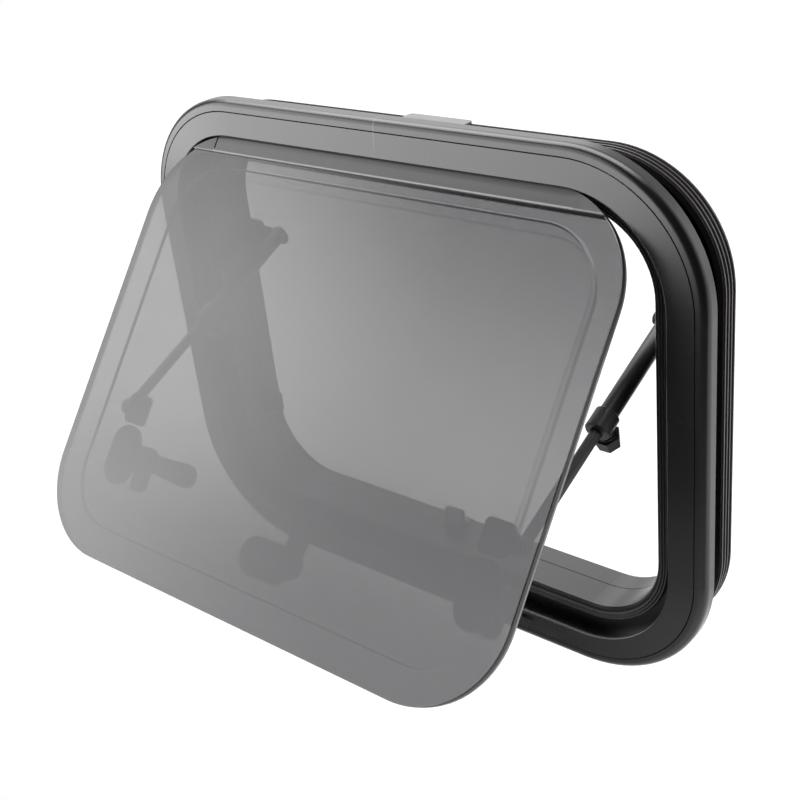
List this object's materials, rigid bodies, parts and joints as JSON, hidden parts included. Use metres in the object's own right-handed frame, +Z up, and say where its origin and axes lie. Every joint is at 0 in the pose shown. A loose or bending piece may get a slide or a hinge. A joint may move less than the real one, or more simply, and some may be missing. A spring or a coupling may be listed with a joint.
{
  "type": "caravan window",
  "caption": "Top-hung caravan window: black rounded frame with clamping ring, smoked acrylic pane propped open on telescopic stays, turn latches.",
  "frame": {"origin": "on the flange's sealing face, in the middle of the lower overlap, on the centre line", "axes": "+X right as seen from outside, +Y inward through the wall, +Z up"},
  "size_m": [0.49, 0.2765, 0.39],
  "materials": {
    "frame_paint": "satin black coat",
    "ring_plastic": "moulded, ribbed edge",
    "splice_grey": "plain",
    "seal_rubber": "matt",
    "smoked_acrylic": "polished smoked acrylic",
    "clear_acrylic": "polished acrylic",
    "hinge_aluminium": "drawn, dull grey",
    "plug_plastic": "moulded",
    "stay_paint": "satin black",
    "knob_plastic": "moulded",
    "latch_plastic": "moulded"
  },
  "bodies": {
    "frame": {"outer_frame": "frame_paint", "clamp_ring": "ring_plastic", "splice_plate": "splice_grey", "pane_seal": "seal_rubber", "hinge_socket": "frame_paint", "left_stay_bracket": "stay_paint", "right_stay_bracket": "stay_paint", "left_catch": "latch_plastic", "right_catch": "latch_plastic", "bottom_catch": "latch_plastic"},
    "pane": {"pane_outer_sheet": "smoked_acrylic", "pane_inner_sheet": "clear_acrylic", "hinge_rail": "hinge_aluminium", "left_rail_plug": "plug_plastic", "right_rail_plug": "plug_plastic", "left_pane_bracket": "stay_paint", "right_pane_bracket": "stay_paint", "left_latch_base": "latch_plastic", "right_latch_base": "latch_plastic", "bottom_latch_base": "latch_plastic"},
    "left_stay_sleeve": {"left_stay_tube": "stay_paint", "left_stay_collar": "knob_plastic"},
    "left_stay_slider": {"left_stay_rod": "stay_paint"},
    "left_clamp_knob": {"left_stay_knob": "knob_plastic"},
    "right_stay_sleeve": {"right_stay_tube": "stay_paint", "right_stay_collar": "knob_plastic"},
    "right_stay_slider": {"right_stay_rod": "stay_paint"},
    "right_clamp_knob": {"right_stay_knob": "knob_plastic"},
    "left_latch": {"left_latch_lever": "latch_plastic"},
    "right_latch": {"right_latch_lever": "latch_plastic"},
    "bottom_latch": {"bottom_latch_lever": "latch_plastic"}
  },
  "joints": [
    {"name": "pane_hinge", "type": "hinge", "parent": "frame", "child": "pane", "pos_m": [0, -0.004, 0.3535], "axis": [-1, 0, 0], "range_deg": [-39, 0]},
    {"name": "left_stay_pivot", "type": "hinge", "parent": "frame", "child": "left_stay_sleeve", "pos_m": [-0.183, 0.052, 0.245], "axis": [-1, 0, 0], "range_deg": [-49.97, 0]},
    {"name": "left_stay_slide", "type": "slide", "parent": "left_stay_sleeve", "child": "left_stay_slider", "axis": [0, -0.9172, -0.3984], "range_m": [-0.07637, 0]},
    {"name": "left_knob_turn", "type": "hinge", "parent": "left_stay_sleeve", "child": "left_clamp_knob", "pos_m": [-0.183, -0.03238, 0.20835], "axis": [0, 0.3984, -0.9172], "range_deg": [-180, 0]},
    {"name": "right_stay_pivot", "type": "hinge", "parent": "frame", "child": "right_stay_sleeve", "pos_m": [0.183, 0.052, 0.245], "axis": [-1, 0, 0], "range_deg": [-49.97, 0]},
    {"name": "right_stay_slide", "type": "slide", "parent": "right_stay_sleeve", "child": "right_stay_slider", "axis": [0, -0.9172, -0.3984], "range_m": [-0.07637, 0]},
    {"name": "right_knob_turn", "type": "hinge", "parent": "right_stay_sleeve", "child": "right_clamp_knob", "pos_m": [0.183, -0.03238, 0.20835], "axis": [0, 0.3984, -0.9172], "range_deg": [-180, 0]},
    {"name": "left_latch_turn", "type": "hinge", "parent": "pane", "child": "left_latch", "pos_m": [-0.168, -0.13681, 0.13228], "axis": [0, -0.7771, 0.6293], "range_deg": [-90, 0]},
    {"name": "right_latch_turn", "type": "hinge", "parent": "pane", "child": "right_latch", "pos_m": [0.168, -0.13681, 0.13228], "axis": [0, 0.7771, -0.6293], "range_deg": [-90, 0]},
    {"name": "bottom_latch_turn", "type": "hinge", "parent": "pane", "child": "bottom_latch", "pos_m": [0, -0.15632, 0.10819], "axis": [0, 0.7771, -0.6293], "range_deg": [-90, 0]}
  ],
  "couplings": [
    {"joint": "left_stay_pivot", "follows": "pane_hinge", "ratio": 1.2812},
    {"joint": "left_stay_slide", "follows": "pane_hinge", "m_per_rad": 0.11219},
    {"joint": "right_stay_pivot", "follows": "pane_hinge", "ratio": 1.2812},
    {"joint": "right_stay_slide", "follows": "pane_hinge", "m_per_rad": 0.11219}
  ]
}
